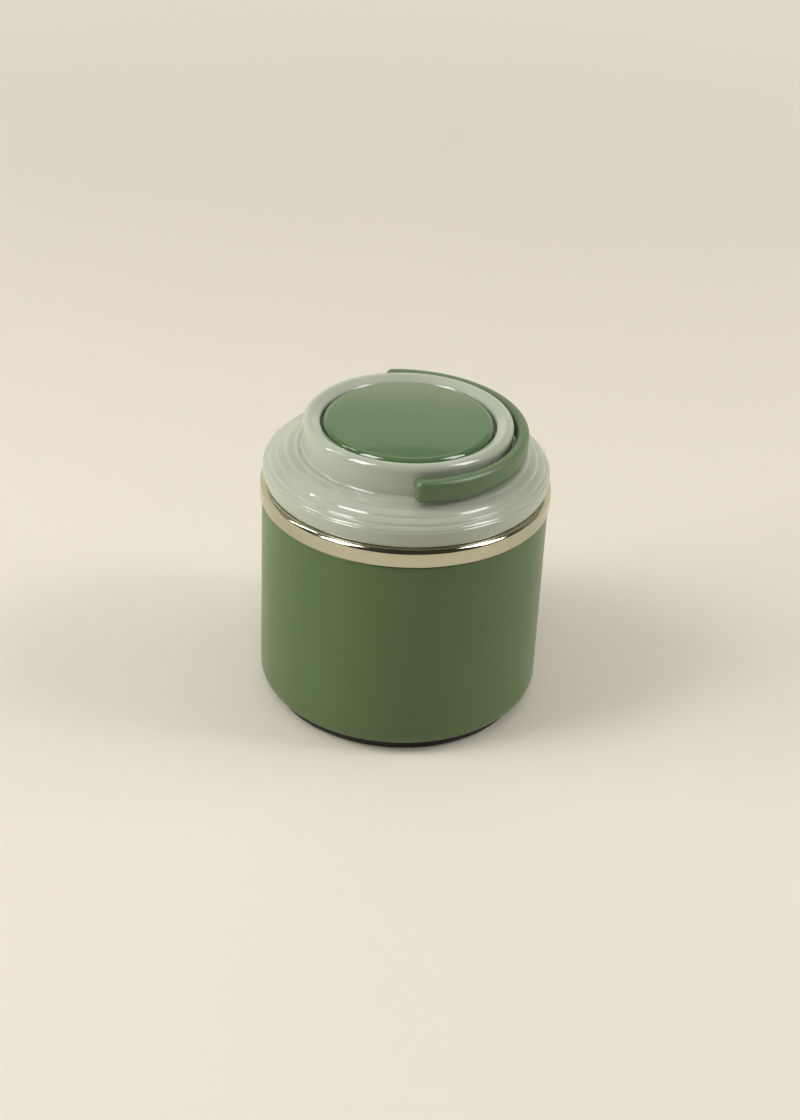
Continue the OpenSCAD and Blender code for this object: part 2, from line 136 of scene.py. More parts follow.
class Mat(Nodes):
    """One material, with the patterns that finishes share."""

    def __init__(self, name):
        self.data = bpy.data.materials.new(name)
        self.data.use_nodes = True
        super().__init__(self.data.node_tree)
        self.tree.nodes.clear()
        self.output = self.tree.nodes.new("ShaderNodeOutputMaterial")
        self.coords = self.node("ShaderNodeTexCoord", {}, {}, out="Object")

    def noise(self, scale, detail=3.0, roughness=0.5, stretch=(1, 1, 1), place=None):
        """Soft noise, from 0 to 1, with scale as blobs a metre, stretched along the axes."""
        where = self.node("ShaderNodeMapping", {}, {"Vector": place or self.coords, "Scale": stretch})
        return self.node(
            "ShaderNodeTexNoise",
            {"normalize": True},
            {"Vector": where, "Scale": scale, "Detail": detail, "Roughness": roughness},
        )

    def along(self, axis):
        """A point's place along X, Y or Z."""
        return self.node("ShaderNodeSeparateXYZ", {}, {"Vector": self.coords}, out=axis)

    def from_axis(self):
        """A point's distance from the jar's axis."""
        flat = self.node("ShaderNodeVectorMath", {"operation": "MULTIPLY"}, {0: self.coords, 1: (1, 1, 0)})
        return self.node("ShaderNodeVectorMath", {"operation": "LENGTH"}, {0: flat}, out="Value")

    def turned_place(self):
        """Radius and height as a point, so that a pattern on it runs round the jar's axis."""
        return self.node("ShaderNodeCombineXYZ", {}, {"X": self.from_axis(), "Z": self.along("Z")})

    def mix(self, share, a, b):
        """Colour a, towards colour b by share. A Mix node's colour sockets are 6 and 7, and 2 comes out."""
        return self.node(
            "ShaderNodeMix",
            {"data_type": "RGBA", "blend_type": "MIX"},
            {0: share, 6: a, 7: b},
            out=2,
        )

    def bump(self, height, distance, under=None):
        """A normal with this height times distance on it, over another bump where one is given."""
        values = {"Height": height, "Distance": distance, "Strength": 1.0}
        if under is not None:
            values["Normal"] = under
        return self.node("ShaderNodeBump", {}, values)

    def surface(self, **sockets):
        """A Principled surface with these sockets, named with _ for a space."""
        values = {key.replace("_", " "): value for key, value in sockets.items()}
        return self.node("ShaderNodeBsdfPrincipled", {}, values)

    def show(self, surface):
        self.tree.links.new(surface.socket, self.output.inputs["Surface"])
        return self.data

    def finish(self, **sockets):
        return self.show(self.surface(**sockets))


def srgb(red, green, blue):
    """A colour from 0 to 255 a channel, as the linear colour that shaders use."""
    def linear(c):
        c = c / 255
        return c / 12.92 if c <= 0.04045 else ((c + 0.055) / 1.055) ** 2.4
    return (linear(red), linear(green), linear(blue), 1.0)


def tinted(colour, gain):
    """The same colour, lighter or darker."""
    return (colour[0] * gain, colour[1] * gain, colour[2] * gain, 1.0)


# ---------------------------------------------------------------- finishes


SHELL_GREEN = srgb(83, 105, 64)
LID_SAGE = srgb(168, 174, 156)
DISC_GREEN = srgb(84, 110, 70)
HANDLE_GREEN = srgb(82, 106, 66)
STEEL = (0.72, 0.70, 0.66, 1.0)
# The collar's steel, tinted cream and a little darker: its own colour with a painted reflection of the
# cream floor in it.
COLLAR_STEEL_PAINTED_WARM = (0.53, 0.515, 0.385, 1.0)
COPPER = (0.80, 0.50, 0.32, 1.0)
GETTER_GREY = (0.20, 0.20, 0.19, 1.0)
SOLDER_GLASS = srgb(92, 108, 112)
POLYPROPYLENE = srgb(226, 226, 214)
SILICONE = srgb(232, 230, 218)
WASHER_SILICONE = srgb(214, 214, 202)
# Near-black rubber, darkened to the shade under the jar's edge: partly its own colour, partly painted
# shade.
BLACK_RUBBER_WITH_SHADE = srgb(20, 20, 14)
CUSHION_FOAM = srgb(228, 224, 212)
LID_FOAM = srgb(240, 238, 230)
DUST = srgb(190, 186, 172)


def moulded(name, colour, roughness, mottle, grain=0.000004, peel=0.00001, scuffs=0.10, **sockets):
    """Moulded or painted plastic: faint clouds in its colour, orange peel, fine grain, and soft scuffs
    that change its gloss. grain and peel are heights in metres."""
    mat = Mat(name)
    clouds = mat.noise(28, detail=4)
    fine = mat.noise(900, detail=2)
    handled = mat.noise(60, detail=5, roughness=0.62, stretch=(1, 1, 2.2))
    colour_map = mat.mix(clouds.clamped(0.3, 0.7), tinted(colour, 1 - mottle), tinted(colour, 1 + mottle))
    gloss = roughness + (handled.clamped(0.35, 0.75) - 0.4 + (fine - 0.5) * 0.5) * scuffs
    waves = mat.bump(mat.noise(420, detail=1.5), peel)
    return mat.finish(
        Base_Color=colour_map,
        Roughness=gloss,
        Normal=mat.bump(mat.noise(5200, detail=2), grain, under=waves),
        **sockets,
    )


def turned_metal(name, colour, roughness, lines=9000, depth=0.0000015, smudge=0.12):
    """Steel with fine lines round the jar's axis, and faint smudges in its gloss."""
    mat = Mat(name)
    place = mat.turned_place()
    fine = mat.noise(lines, detail=3, roughness=0.6, place=place)
    wide = mat.noise(lines / 9, detail=2, place=place)
    handled = mat.noise(70, detail=5, roughness=0.6)
    colour_map = mat.mix(wide, tinted(colour, 0.94), tinted(colour, 1.04))
    gloss = roughness + (fine - 0.5) * roughness * 0.7 + handled.clamped(0.45, 0.8) * smudge
    return mat.finish(
        Base_Color=colour_map,
        Metallic=1.0,
        Roughness=gloss,
        Normal=mat.bump(fine, depth),
    )


def rubbery(name, colour, roughness, dusty=0.35):
    """Silicone or rubber: matt, with a fine skin and a little dust on it."""
    mat = Mat(name)
    dust = mat.noise(240, detail=5, roughness=0.65)
    colour_map = mat.mix(dust.clamped(0.5, 0.8) * dusty, colour, tinted(DUST, 0.6))
    return mat.finish(
        Base_Color=colour_map,
        Roughness=roughness + (dust - 0.5) * 0.15,
        Normal=mat.bump(mat.noise(3600, detail=3), 0.00001),
    )


def foam(name, colour):
    """Expanded foam: matt beads pressed together."""
    mat = Mat(name)
    beads = mat.node("ShaderNodeTexVoronoi", {"feature": "SMOOTH_F1"}, {"Vector": mat.coords, "Scale": 620})
    colour_map = mat.mix(beads.clamped(0.2, 0.7), tinted(colour, 1.03), tinted(colour, 0.84))
    return mat.finish(Base_Color=colour_map, Roughness=0.9, Normal=mat.bump(1 - beads, 0.00025))


def crumpled_foil(name, colour):
    """Thin metal foil with soft wrinkles."""
    mat = Mat(name)
    folds = mat.noise(160, detail=5, roughness=0.6, stretch=(1, 1, 0.5))
    colour_map = mat.mix(folds, tinted(colour, 0.88), tinted(colour, 1.08))
    return mat.finish(
        Base_Color=colour_map,
        Metallic=1.0,
        Roughness=0.22 + folds * 0.16,
        Normal=mat.bump(folds, 0.0006),
    )


def fused_glass(name, colour):
    """Glass solder: smooth, with small bubbles under its skin."""
    mat = Mat(name)
    bubbles = mat.node("ShaderNodeTexVoronoi", {"feature": "F1"}, {"Vector": mat.coords, "Scale": 2400})
    colour_map = mat.mix(bubbles.clamped(0.1, 0.3), tinted(colour, 1.5), colour)
    return mat.finish(
        Base_Color=colour_map,
        Roughness=0.12 + bubbles * 0.1,
        Normal=mat.bump(mat.noise(700), 0.00008),
    )


def pressed_powder(name, colour):
    """The getter's pellet: dark sintered metal."""
    mat = Mat(name)
    grains = mat.noise(5200, detail=4, roughness=0.7)
    colour_map = mat.mix(grains, tinted(colour, 0.7), tinted(colour, 1.25))
    return mat.finish(
        Base_Color=colour_map,
        Metallic=0.8,
        Roughness=0.55 + grains * 0.2,
        Normal=mat.bump(grains, 0.00005),
    )


FINISHES = {
    "outer_shell": moulded("satin_green_shell", SHELL_GREEN, 0.31, mottle=0.02, grain=0.000001,
                           peel=0.000002, scuffs=0.04, Specular_IOR_Level=0.26),
    "foot_ring": rubbery("dark_rubber", BLACK_RUBBER_WITH_SHADE, 0.6, dusty=0.06),
    "flask_cushion": foam("cushion_foam", CUSHION_FOAM),
    "jacket_base": turned_metal("jacket_base_steel", STEEL, 0.32),
    "vacuum_jacket": turned_metal("jacket_steel", STEEL, 0.34),
    "getter": pressed_powder("getter_pellet", GETTER_GREY),
    "vacuum_seal": fused_glass("glass_solder", SOLDER_GLASS),
    "heat_foil": crumpled_foil("copper_foil", COPPER),
    "inner_bowl": turned_metal("bowl_steel", STEEL, 0.33, lines=5200, smudge=0.06),
    "collar_seal": rubbery("collar_silicone", WASHER_SILICONE, 0.6),
    # Its warm tint is a painted reflection of the cream floor.
    "steel_collar": turned_metal("polished_steel", COLLAR_STEEL_PAINTED_WARM, 0.09, lines=14000, depth=0.0000004,
                                 smudge=0.05),
    "neck_ring": moulded("neck_plastic", POLYPROPYLENE, 0.42, mottle=0.02),
    "lid_gasket": rubbery("seal_silicone", SILICONE, 0.5),
    "inner_cap": moulded("cap_plastic", POLYPROPYLENE, 0.38, mottle=0.02),
    "vent_valve": rubbery("valve_silicone", SILICONE, 0.5),
    "lid_insulation": foam("lid_foam", LID_FOAM),
    "lid_shell": moulded("glossy_sage_lid", LID_SAGE, 0.075, mottle=0.02, grain=0.000001,
                         peel=0.000003, scuffs=0.03),
    "top_disc": moulded("high_gloss_disc", DISC_GREEN, 0.07, mottle=0.03, grain=0.0,
                        peel=0.000003, scuffs=0.03),
    "carry_handle": moulded("handle_plastic", HANDLE_GREEN, 0.38, mottle=0.03, grain=0.0000015,
                            peel=0.000003, scuffs=0.04),
    "pivot_pins": turned_metal("pin_steel", STEEL, 0.2),
}


# ---------------------------------------------------------------- outlines


CORNER_TURN = math.radians(30)  # an outline that turns more than this has a corner there
CORNER_ROUND = 0.12 * MM        # length of a side that a corner's rounding takes
CORNER_SHARE = 0.3              # most of a short side that it takes
CURVE_STEP = math.radians(3.5)  # most that a curve turns from one segment to the next
LID_CURVE_STEP = CURVE_STEP * 1.3
UNEVEN = 3                      # a side this many times longer than the next one stays straight
EDGE_STRIP = 0.06 * MM          # strip beside a corner, which keeps the shading of long faces flat
LONG_SIDE = 0.5 * MM            # a straight side gets such strips from this length
CLOSE = 0.002 * MM              # an outline's points keep at least this distance
STRAIGHT = 0.0004 * MM          # a point nearer than this to its neighbours' line is left out
NO_LENGTH = 1e-12               # a chord is never divided by less


def outline_of(node):
    """The outline of a round CAD node in the half plane y = 0, x >= 0, as points (radius, height) with
    the solid on their left. One that reaches the axis starts and ends on it."""
    cut = bmesh.new()
    cut.from_mesh(NODES[node].data)
    bmesh.ops.remove_doubles(cut, verts=cut.verts, dist=TINY)
    made = bmesh.ops.bisect_plane(
        cut, geom=cut.verts[:] + cut.edges[:] + cut.faces[:], dist=TINY / 2,
        plane_co=(0, 0, 0), plane_no=(0, 1, 0),
    )
    on_side = [v for v in made["geom_cut"] if isinstance(v, bmesh.types.BMVert) and v.co.x > -TINY]
    cut_edges = {e for e in made["geom_cut"] if isinstance(e, bmesh.types.BMEdge)}
    near = {v: [e.other_vert(v) for e in v.link_edges if e in cut_edges] for v in on_side}
    near = {v: [o for o in others if o in near] for v, others in near.items()}
    ends = [v for v in on_side if len(near[v]) == 1]
    at = ends[0] if ends else on_side[0]
    run = [at]
    seen = {at}
    while True:
        onward = [v for v in near[run[-1]] if v not in seen]
        if not onward:
            break
        run.append(onward[0])
        seen.add(onward[0])
    points = [Vector((max(v.co.x, 0.0), v.co.z)) for v in run]
    cut.free()
    points = without_straight_points(points, closed=not ends)
    area = sum(a.x * b.y - b.x * a.y for a, b in zip(points, points[1:] + points[:1]))
    if area < 0:
        points.reverse()
    return points


def without_straight_points(points, closed):
    """Drops the points that lie on the line through their neighbours."""
    kept = []
    count = len(points)
    for i, point in enumerate(points):
        if not closed and i in (0, count - 1):
            kept.append(point)
            continue
        before = kept[-1] if kept else points[i - 1]
        after = points[(i + 1) % count]
        chord = after - before
        leg = point - before
        if leg.length < CLOSE:
            continue
        off = abs(chord.x * leg.y - chord.y * leg.x) / max(chord.length, NO_LENGTH)
        if off > STRAIGHT:
            kept.append(point)
    return kept


def turn_between(a, b):
    """Angle from direction a to direction b, positive to the left."""
    return math.atan2(a.x * b.y - a.y * b.x, a.dot(b))


def turned(direction, angle):
    """A direction turned to the left by an angle."""
    c, s = math.cos(angle), math.sin(angle)
    return Vector((direction.x * c - direction.y * s, direction.x * s + direction.y * c))


def ways_through(legs, closed):
    """For each point of an outline: the ways in which it is reached and left, and whether it's a corner."""
    ways = []
    for i, after in enumerate(legs):
        before = legs[i - 1]
        if not closed and i in (0, len(legs) - 1):
            way = before.normalized() if i else after.normalized()
            ways.append((way, way, False))
            continue
        turn = turn_between(before, after)
        if abs(turn) > CORNER_TURN:
            ways.append((before.normalized(), after.normalized(), True))
            continue
        share = before.length / (before.length + after.length)
        if before.length > UNEVEN * after.length:
            share = 0.0
        elif after.length > UNEVEN * before.length:
            share = 1.0
        way = turned(before.normalized(), turn * share)
        ways.append((way, way, False))
    return ways


def smoothed(points, closed, step=CURVE_STEP):
    """The outline with its chords bent into curves and its corners slightly rounded."""
    count = len(points)
    legs = [points[(i + 1) % count] - points[i] for i in range(count)]
    trims = [min(CORNER_ROUND, leg.length * CORNER_SHARE) for leg in legs]
    ways = ways_through(legs, closed)
    out = []
    for i in range(count if closed else count - 1):
        j = (i + 1) % count
        _, leaving, corner_here = ways[i]
        arriving, _, corner_there = ways[j]
        unit = legs[i].normalized()
        start = points[i] + unit * (trims[i] if corner_here else 0.0)
        end = points[j] - unit * (trims[i] if corner_there else 0.0)
        bend = abs(turn_between(leaving, unit)) + abs(turn_between(unit, arriving))
        steps = max(1, math.ceil(bend / step))
        span = (end - start).length
        places = [k / steps for k in range(steps + 1)]
        if steps == 1 and span > LONG_SIDE:
            places = [0, EDGE_STRIP / span, 1 - EDGE_STRIP / span, 1]
        for t in places:
            out.append(curve_point(start, end, leaving * span, arriving * span, t))
        if corner_there:
            far = points[j] + legs[j].normalized() * trims[j]
            for t in (0.25, 0.5, 0.75):
                out.append(end * (1 - t) ** 2 + points[j] * 2 * t * (1 - t) + far * t ** 2)
    kept = []
    for point, before in zip(out, out[-1:] + out[:-1]):
        first = not closed and point is out[0]
        if first or (point - before).length > TINY:
            kept.append(point)
    return kept


def curve_point(start, end, way_start, way_end, t):
    """A point of the cubic from start to end that leaves and arrives along the two ways."""
    t2, t3 = t * t, t * t * t
    return (
        start * (2 * t3 - 3 * t2 + 1) + way_start * (t3 - 2 * t2 + t)
        + end * (3 * t2 - 2 * t3) + way_end * (t3 - t2)
    )


# ---------------------------------------------------------------- meshes


ROUND_SEGMENTS = 256  # faces of a lathed piece round the jar's axis
ROD_SEGMENTS = 64


def mesh_object(name, mesh, finish, smooth_angle=40):
    """An object at the origin, shaded smooth but for edges sharper than smooth_angle degrees."""
    made = bpy.data.objects.new(name, mesh)
    bpy.context.scene.collection.objects.link(made)
    mesh.shade_smooth()
    mesh.set_sharp_from_angle(angle=math.radians(smooth_angle))
    mesh.materials.clear()
    mesh.materials.append(FINISHES[finish])
    return made


def join_rings(work, rings, wraps):
    """Faces between rings of vertices, any of which may be a single point many times over."""
    for low, high in zip(rings, rings[1:]):
        count = len(low)
        for k in range(count if wraps else count - 1):
            n = (k + 1) % count
            corners = [low[k], low[n], high[n], high[k]]
            corners = [v for i, v in enumerate(corners) if v not in corners[:i]]
            if len(corners) > 2:
                work.faces.new(corners)


def finished(work, name):
    """The mesh of a closed bmesh, with its faces outwards."""
    bmesh.ops.recalc_face_normals(work, faces=work.faces)
    mesh = bpy.data.meshes.new(name)
    work.to_mesh(mesh)
    work.free()
    return mesh


def lathed_mesh(name, points, closed, angle=FULL_TURN, start=0.0):
    """The surface that an outline sweeps round the axis. A part turn is closed with flat ends."""
    whole = angle >= FULL_TURN
    steps = round(ROUND_SEGMENTS * angle / FULL_TURN)
    columns = steps if whole else steps + 1
    turns = [start + angle * k / steps for k in range(columns)]
    work = bmesh.new()
    rings = []
    for point in points:
        if point.x < TINY:
            rings.append([work.verts.new((0, 0, point.y))] * columns)
            continue
        places = [(point.x * math.cos(a), point.x * math.sin(a), point.y) for a in turns]
        rings.append([work.verts.new(place) for place in places])
    join_rings(work, rings + rings[:1] if closed else rings, wraps=whole)
    if not whole:
        work.faces.new([ring[0] for ring in rings])
        work.faces.new([ring[-1] for ring in rings])
    return finished(work, name)


def rod_mesh(radius, y0, y1, height, chamfer):
    """A rod along Y from y0 to y1, with its edges chamfered."""
    rims = [
        (0.0, y0), (radius - chamfer, y0), (radius, y0 + chamfer),
        (radius, y1 - chamfer), (radius - chamfer, y1), (0.0, y1),
    ]
    turns = [FULL_TURN * k / ROD_SEGMENTS for k in range(ROD_SEGMENTS)]
    work = bmesh.new()
    rings = []
    for i, (r, y) in enumerate(rims):
        if (r, y) in rims[:i]:
            continue
        if r == 0.0:
            rings.append([work.verts.new((0, y, height))] * ROD_SEGMENTS)
            continue
        rings.append([work.verts.new((r * math.cos(a), y, height + r * math.sin(a))) for a in turns])
    join_rings(work, rings, wraps=True)
    return finished(work, "rod")


def rod_pair(radius, near, far, chamfer=0.0):
    """Two rods on the handle's axis, one on each side, from near to far from the jar's axis."""
    return [rod_mesh(radius, y0, y1, PIVOT_Z, chamfer) for y0, y1 in ((near, far), (-far, -near))]


def prism_mesh(corners, z0, z1):
    """A flat outline, as points (x, y), raised from z0 to z1."""
    work = bmesh.new()
    low = [work.verts.new((x, y, z0)) for x, y in corners]
    high = [work.verts.new((x, y, z1)) for x, y in corners]
    join_rings(work, [low, high], wraps=True)
    work.faces.new(low)
    work.faces.new(high)
    return finished(work, "prism")


def carved(name, base, add=(), cut=()):
    """The base mesh with closed meshes added to it, and others cut from it."""
    blank = bpy.data.objects.new(name, base)
    used = [blank]
    for meshes, operation in ((add, "UNION"), (cut, "DIFFERENCE")):
        for mesh in meshes:
            tool = bpy.data.objects.new("tool", mesh)
            used.append(tool)
            step = blank.modifiers.new(operation, "BOOLEAN")
            step.operation = operation
            step.solver = "MANIFOLD"
            step.object = tool
    for thing in used:
        bpy.context.scene.collection.objects.link(thing)
    bpy.context.view_layer.update()
    mesh = bpy.data.meshes.new_from_object(blank.evaluated_get(bpy.context.evaluated_depsgraph_get()))
    mesh.name = name
    for thing in used:
        spare = thing.data
        bpy.data.objects.remove(thing)
        bpy.data.meshes.remove(spare)
    return mesh


def stand_for(node, body, name, mesh):
    """A piece with this mesh stands for a CAD node: it takes that node's finish and rides on the body, and
    the node is hidden.
    """
    made = mesh_object(name, mesh, node)
    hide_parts(node)
    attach(made, body)


def turned_from(node, name):
    """A round CAD node's outline, turned smoothly round the axis."""
    points = outline_of(node)
    closed = points[0].x > TINY
    return lathed_mesh(name, smoothed(points, closed), closed)


# ---------------------------------------------------------------- foot


FOOT_LIP = 2.2 * MM   # how far the lip stands out
FOOT_SIDE = 1 * MM    # depth of the ring's outer side, which moves out with it
LIP_GAP = 0.05 * MM


def rubber_foot():
    """The ring that the jar stands on, with a lip over the groove that it is pushed into. The near-black
    lip widens the dark band under the shell's edge: partly the real foot, partly painted shade of the floor
    under the overhang.
    """
    section = outline_of("foot_ring")
    groove_r = max(p.x for p in section)
    lip_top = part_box("outer_shell")[0].z - LIP_GAP
    outline = []
    for p, onward in zip(section, section[1:] + section[:1]):
        if p.x < groove_r - FOOT_SIDE or p.y > lip_top:
            outline.append(p)
            continue
        outline.append(Vector((p.x + FOOT_LIP, p.y)))
        if onward.y > lip_top:
            outline += [Vector((groove_r + FOOT_LIP, lip_top)), Vector((groove_r, lip_top))]
    ring = lathed_mesh("rubber_foot", smoothed(outline, True), True)
    stand_for("foot_ring", "jar", "rubber_foot", ring)


# ---------------------------------------------------------------- lid


PIVOT_Z = next(j for j in frame["joints"] if j["name"] == "handle_swing")["pos_m"][2]
PIN_R = 1.5 * MM
PIN_PLAY = 0.05 * MM
BORE_PAST = 1 * MM         # how far a bore's tool reaches past the face that it goes in by
LID_NECK_R = 38.61 * MM
BEARING_DEPTH = 3.2 * MM
BEARING_WALL = 0.8 * MM
BEARING_BACK = 0.4 * MM    # distance of the block's back from the neck's face
BEARING_W = 8 * MM
BEARING_HALF_H = 4.2 * MM
BEARING_STEPS = 8
SHOULDER_RISE = 7.35 * MM  # height of the smooth curve that the terraces stand on
SHOULDER_FULLNESS = 1.276  # its power, where 1 is an ellipse
TERRACED = (0.02, 0.985)   # part of the way from neck to rim that has terraces
TERRACE_FOOT = 0.4 * MM    # their lowest height over the rim
TERRACE_HEAD = 1 * MM      # their highest height over the curve's top
INSIDE = -0.2 * MM         # a point this far under the curve is on the lid's inside
TERRACE_KEPT = 0.6         # share of each terrace's step that shows


def bearing_block(side):
    """The block inside the lid's neck that a pin turns in, with its back hidden in the neck's wall."""
    back_r = LID_NECK_R - BEARING_BACK
    front = LID_NECK_R - BEARING_DEPTH - BEARING_WALL
    half = BEARING_W / 2
    arc = [half - BEARING_W * i / BEARING_STEPS for i in range(BEARING_STEPS + 1)]
    corners = [(-half, side * front), (half, side * front)]
    corners += [(x, side * math.sqrt(back_r ** 2 - x ** 2)) for x in arc]
    return prism_mesh(corners, PIVOT_Z - BEARING_HALF_H, PIVOT_Z + BEARING_HALF_H)


def eased_terraces(points):
    """The lid's outline with its terraces nearer to the smooth curve that they stand on."""
    rim_r = max(p.x for p in points)
    rim_z = next(p.y for p in points if p.x == rim_r)
    first, last = TERRACED
    out = []
    for p in points:
        across = (p.x - LID_NECK_R) / (rim_r - LID_NECK_R)
        high = TERRACE_FOOT < p.y - rim_z < SHOULDER_RISE + TERRACE_HEAD
        if not high or not first < across < last:
            out.append(p)
            continue
        t = math.asin(across ** (1 / SHOULDER_FULLNESS))
        base = rim_z + SHOULDER_RISE * math.cos(t) ** SHOULDER_FULLNESS
        lift = p.y - base
        out.append(Vector((p.x, base + lift * TERRACE_KEPT)) if lift > INSIDE else p)
    return out


def terraced_lid():
    """The lid's shell with its two bearings."""
    outline = eased_terraces(outline_of("lid_shell"))
    wall = lathed_mesh("wall", smoothed(outline, True, step=LID_CURVE_STEP), True)
    blocks = [bearing_block(side) for side in (1, -1)]
    bores = rod_pair(PIN_R + PIN_PLAY, LID_NECK_R - BEARING_DEPTH, LID_NECK_R + BORE_PAST)
    lid = carved("terraced_lid", wall, add=blocks, cut=bores)
    stand_for("lid_shell", "lid", "terraced_lid", lid)


# Snap tab under the disc, as (radius, height over the tab's foot) in millimetres
TAB_OUTLINE = ((28.81, 4.7), (28.81, 0.4), (29.21, 0.0), (30.11, 0.0), (30.91, 1.0), (30.91, 1.4),
               (30.11, 1.7), (30.11, 4.7))
TABS = 6
TAB_ANGLE = math.radians(24)


def glossy_disc():
    """The crowned disc, with the snap tabs that hold it in the ring."""
    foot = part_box("top_disc")[0].z
    outline = [Vector((r * MM, foot + z * MM)) for r, z in reversed(TAB_OUTLINE)]
    pitch = FULL_TURN / TABS
    starts = [pitch * (i + 0.5) - TAB_ANGLE / 2 for i in range(TABS)]
    tabs = [lathed_mesh("tab", outline, True, TAB_ANGLE, start) for start in starts]
    disc = carved("glossy_disc", turned_from("top_disc", "disc"), add=tabs)
    stand_for("top_disc", "lid", "glossy_disc", disc)


# ---------------------------------------------------------------- handle


BOW_T = 4.5 * MM
BOW_OFFSET = 2.1 * MM    # how far the middle of its arc lies behind the jar's axis
BOW_EDGE = 2.0 * MM      # radius of its long edges
BOW_FLAT = 0.8           # place on its flat top and bottom of a line that keeps their shading flat
BOW_STEPS = 176
END_STEPS = 20
EDGE_STEPS = 9
BOSS_R = 2.8 * MM
BOSS_FACE = LID_NECK_R + 0.3 * MM
BOSS_CHAMFER = 0.15 * MM
PIN_FIT = 0.01 * MM      # the pins sit tight in the handle


def bow_half_section(height):
    """One side of the bow's section, from the middle of its top to the middle of its bottom, as
    points (distance outwards, height)."""
    half_t, half_h = BOW_T / 2, height / 2
    flat = (half_t - BOW_EDGE) * BOW_FLAT
    straight = half_h - BOW_EDGE - EDGE_STRIP
    points = [(0.0, half_h), (flat, half_h)]
    for side, first, last in ((1, 90, 0), (-1, 0, -90)):
        for i in range(EDGE_STEPS + 1):
            a = math.radians(first + (last - first) * i / EDGE_STEPS)
            middle_z = side * (half_h - BOW_EDGE)
            points.append((half_t - BOW_EDGE + BOW_EDGE * math.cos(a), middle_z + BOW_EDGE * math.sin(a)))
        if side == 1:
            points += [(half_t, straight), (half_t, -straight)]
    points += [(flat, -half_h), (0.0, -half_h)]
    return points


def bow_handle():
    """The bow, swept round its arc, closed with round ends, with a boss at each pivot."""
    low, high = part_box("carry_handle")
    height = high.z - low.z
    mid_r = high.x + BOW_OFFSET - BOW_T / 2
    end_x = low.x + BOW_T / 2
    end_angle = math.acos((end_x + BOW_OFFSET) / mid_r)
    end_y = mid_r * math.sin(end_angle)
    half = bow_half_section(height)
    side_count = len(half) - 2
    work = bmesh.new()

    def on_arc(a):
        """The bow's middle line at an angle, and the way outwards there."""
        way = Vector((math.cos(a), math.sin(a)))
        return Vector((-BOW_OFFSET, 0)) + way * mid_r, way

    def column(at, way):
        """Vertices of one side of the section, without the two on its middle line."""
        return [work.verts.new((at.x + way.x * d, at.y + way.y * d, PIVOT_Z + z)) for d, z in half[1:-1]]

    rings = []
    for i in range(BOW_STEPS + 1):
        at, way = on_arc(-end_angle + 2 * end_angle * i / BOW_STEPS)
        top, bottom = (work.verts.new((at.x, at.y, PIVOT_Z + z)) for z in (height / 2, -height / 2))
        outer = column(at, way)
        inner = column(at, -way)
        rings.append([top] + outer + [bottom] + inner[::-1])
    join_rings(work, rings, wraps=True)
    for ring, a, onward in ((rings[0], -end_angle, -1), (rings[-1], end_angle, 1)):
        at, way = on_arc(a)
        along = Vector((-math.sin(a), math.cos(a))) * onward
        top, bottom = ring[0], ring[side_count + 1]
        columns = [ring[1:side_count + 1]]
        for k in range(1, END_STEPS):
            b = math.pi * k / END_STEPS
            columns.append(column(at, way * math.cos(b) + along * math.sin(b)))
        columns.append(ring[side_count + 2:][::-1])
        join_rings(work, [[top] + c + [bottom] for c in columns], wraps=False)
    bosses = rod_pair(BOSS_R, BOSS_FACE, end_y, BOSS_CHAMFER)
    bores = rod_pair(PIN_R + PIN_FIT, BOSS_FACE - BORE_PAST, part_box("pivot_pins")[1].y)
    handle = carved("bow_handle", finished(work, "bow"), add=bosses, cut=bores)
    stand_for("carry_handle", "handle", "bow_handle", handle)


# ---------------------------------------------------------------- screw thread


THREAD_SIZES = ("Radius", "Lead", "Turns", "Root Width", "Crest Width", "Depth", "Foot")
THREAD_INPUTS = (
    *((label, "NodeSocketFloat") for label in THREAD_SIZES),
    ("Starts", "NodeSocketInt"),
    ("Steps", "NodeSocketInt"),
    ("Finish", "NodeSocketMaterial"),
)
BOTH_THREADS = {"Lead": 6 * MM, "Turns": 0.72, "Starts": 2, "Steps": 110}
NECK_THREAD = {
    "Radius": 46.75 * MM, "Foot": 89.2 * MM, "Root Width": 1.5 * MM, "Crest Width": 0.7 * MM,
    "Depth": 0.9 * MM,
}
CAP_THREAD = {
    "Radius": 48.27 * MM, "Foot": 87.9 * MM, "Root Width": 1.3 * MM, "Crest Width": 0.6 * MM,
    "Depth": -0.9 * MM,
}
THREAD_FADE = (-0.02, 0.09)  # shares of the ridge's length, at each end, between which it grows
THREAD_TIP = 0.05            # share of its full height that it grows from


class Growth(Nodes):
    """A Geometry Nodes tree with named inputs."""

    def __init__(self, name, inputs):
        super().__init__(bpy.data.node_groups.new(name, "GeometryNodeTree"))
        face = self.tree.interface
        self.ids = {}
        for label, kind in inputs:
            self.ids[label] = face.new_socket(label, in_out="INPUT", socket_type=kind).identifier
        face.new_socket("Geometry", in_out="OUTPUT", socket_type="NodeSocketGeometry")
        self.given = self.tree.nodes.new("NodeGroupInput")
        self.result = self.tree.nodes.new("NodeGroupOutput")

    def value(self, label):
        return Val(self, self.given.outputs[label])

    def end(self, geometry):
        self.tree.links.new(geometry.socket, self.result.inputs[0])


